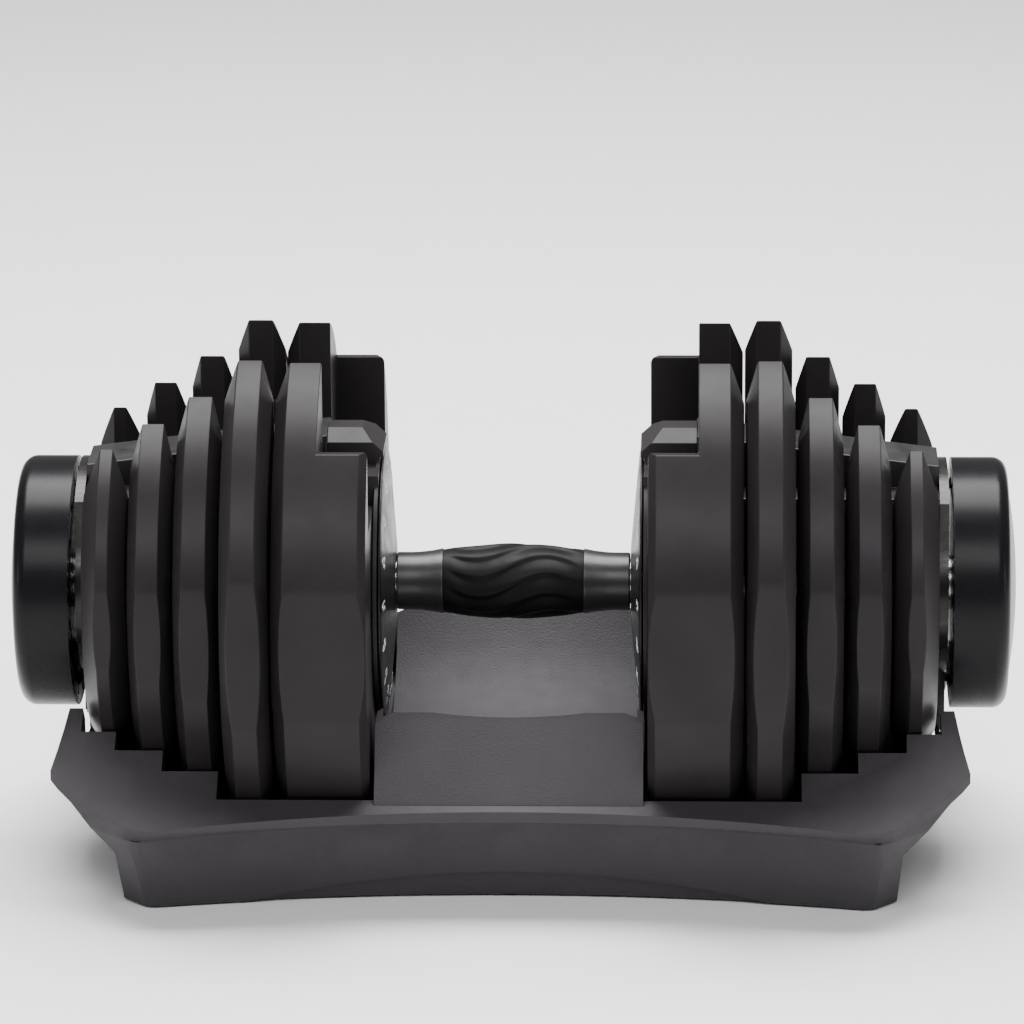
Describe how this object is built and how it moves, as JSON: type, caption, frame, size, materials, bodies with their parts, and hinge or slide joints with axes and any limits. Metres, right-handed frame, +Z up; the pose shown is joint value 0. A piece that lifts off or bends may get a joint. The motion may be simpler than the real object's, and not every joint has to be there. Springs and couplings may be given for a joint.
{
  "type": "adjustable dumbbell",
  "caption": "Adjustable dumbbell with stepped weight plates, turning selector knobs and number dials, and a rubber grip, resting in a moulded cradle.",
  "frame": {"origin": "on the floor, under the middle of the handle, at the middle of the base's underside", "axes": "+X along the handle to the right, +Y to the back, +Z up"},
  "size_m": [0.445, 0.2366, 0.231],
  "materials": {
    "base": "fine sandblasted moulding",
    "cover": "fine texture",
    "rubber": "matte",
    "screw": "zinc plated",
    "steel": "ground",
    "grip": "soft matte with a wave relief",
    "collar": "satin",
    "housing": "satin",
    "bridge": "satin",
    "zinc": "zinc plated sheet",
    "spring": "spring wire",
    "dial": "satin with white figures",
    "knob": "gloss",
    "disc": "natural acetal",
    "plate": "satin moulding",
    "iron": "phosphated"
  },
  "bodies": {
    "base": {"base_tray": "base", "base_cover": "cover", "base_feet": "rubber", "base_screws": "screw"},
    "handle": {"axle": "steel", "axle_nuts": "screw", "handle_tube": "steel", "grip": "grip", "collar_left": "collar", "dial_housing_left": "housing", "bridge_left": "bridge", "end_plate_left": "zinc", "lock_spring_left": "spring", "collar_right": "collar", "dial_housing_right": "housing", "bridge_right": "bridge", "end_plate_right": "zinc", "lock_spring_right": "spring"},
    "selector_left": {"number_dial_left": "dial", "drive_tube_left": "steel", "knob_left": "knob", "knob_cover_left": "knob", "selector_disc_a_left": "disc", "selector_disc_b_left": "disc", "selector_disc_c_left": "disc", "selector_disc_d_left": "disc", "selector_disc_e_left": "disc"},
    "lock_left": {"lock_pin_left": "zinc"},
    "plate_a_left": {"plate_a_left": "plate", "plate_core_a_left": "iron"},
    "plate_b_left": {"plate_b_left": "plate", "plate_core_b_left": "iron"},
    "plate_c_left": {"plate_c_left": "plate", "plate_core_c_left": "iron"},
    "plate_d_left": {"plate_d_left": "plate", "plate_core_d_left": "iron"},
    "plate_e_left": {"plate_e_left": "plate", "plate_core_e_left": "iron"},
    "selector_right": {"number_dial_right": "dial", "drive_tube_right": "steel", "knob_right": "knob", "knob_cover_right": "knob", "selector_disc_a_right": "disc", "selector_disc_b_right": "disc", "selector_disc_c_right": "disc", "selector_disc_d_right": "disc", "selector_disc_e_right": "disc"},
    "lock_right": {"lock_pin_right": "zinc"},
    "plate_a_right": {"plate_a_right": "plate", "plate_core_a_right": "iron"},
    "plate_b_right": {"plate_b_right": "plate", "plate_core_b_right": "iron"},
    "plate_c_right": {"plate_c_right": "plate", "plate_core_c_right": "iron"},
    "plate_d_right": {"plate_d_right": "plate", "plate_core_d_right": "iron"},
    "plate_e_right": {"plate_e_right": "plate", "plate_core_e_right": "iron"}
  },
  "joints": [
    {"name": "handle_lift", "type": "slide", "parent": "base", "child": "handle", "axis": [0, 0, 1], "range_m": [0, 0.2]},
    {"name": "selector_turn_left", "type": "hinge", "parent": "handle", "child": "selector_left", "pos_m": [0, 0, 0.12], "axis": [1, 0, 0], "range_deg": [-338.82, 0]},
    {"name": "lock_slide_left", "type": "slide", "parent": "handle", "child": "lock_left", "axis": [0, 0, -1], "range_m": [0, 0.0042], "deforming": ["lock_spring_left"]},
    {"name": "plate_a_lift_left", "type": "slide", "parent": "base", "child": "plate_a_left", "axis": [0, 0, 1], "range_m": [0, 0.2]},
    {"name": "plate_b_lift_left", "type": "slide", "parent": "base", "child": "plate_b_left", "axis": [0, 0, 1], "range_m": [0, 0.2]},
    {"name": "plate_c_lift_left", "type": "slide", "parent": "base", "child": "plate_c_left", "axis": [0, 0, 1], "range_m": [0, 0.2]},
    {"name": "plate_d_lift_left", "type": "slide", "parent": "base", "child": "plate_d_left", "axis": [0, 0, 1], "range_m": [0, 0.2]},
    {"name": "plate_e_lift_left", "type": "slide", "parent": "base", "child": "plate_e_left", "axis": [0, 0, 1], "range_m": [0, 0.2]},
    {"name": "selector_turn_right", "type": "hinge", "parent": "handle", "child": "selector_right", "pos_m": [0, 0, 0.12], "axis": [1, 0, 0], "range_deg": [-338.82, 0]},
    {"name": "lock_slide_right", "type": "slide", "parent": "handle", "child": "lock_right", "axis": [0, 0, -1], "range_m": [0, 0.0042], "deforming": ["lock_spring_right"]},
    {"name": "plate_a_lift_right", "type": "slide", "parent": "base", "child": "plate_a_right", "axis": [0, 0, 1], "range_m": [0, 0.2]},
    {"name": "plate_b_lift_right", "type": "slide", "parent": "base", "child": "plate_b_right", "axis": [0, 0, 1], "range_m": [0, 0.2]},
    {"name": "plate_c_lift_right", "type": "slide", "parent": "base", "child": "plate_c_right", "axis": [0, 0, 1], "range_m": [0, 0.2]},
    {"name": "plate_d_lift_right", "type": "slide", "parent": "base", "child": "plate_d_right", "axis": [0, 0, 1], "range_m": [0, 0.2]},
    {"name": "plate_e_lift_right", "type": "slide", "parent": "base", "child": "plate_e_right", "axis": [0, 0, 1], "range_m": [0, 0.2]}
  ],
  "couplings": [
    {"joint": "lock_slide_left", "follows": "handle_lift", "ratio": 0.021},
    {"joint": "plate_a_lift_left", "follows": "handle_lift", "ratio": 1},
    {"joint": "plate_b_lift_left", "follows": "handle_lift", "ratio": 1},
    {"joint": "plate_c_lift_left", "follows": "handle_lift", "ratio": 1},
    {"joint": "plate_d_lift_left", "follows": "handle_lift", "ratio": 1},
    {"joint": "plate_e_lift_left", "follows": "handle_lift", "ratio": 1},
    {"joint": "lock_slide_right", "follows": "handle_lift", "ratio": 0.021},
    {"joint": "plate_a_lift_right", "follows": "handle_lift", "ratio": 1},
    {"joint": "plate_b_lift_right", "follows": "handle_lift", "ratio": 1},
    {"joint": "plate_c_lift_right", "follows": "handle_lift", "ratio": 1},
    {"joint": "plate_d_lift_right", "follows": "handle_lift", "ratio": 1},
    {"joint": "plate_e_lift_right", "follows": "handle_lift", "ratio": 1}
  ]
}
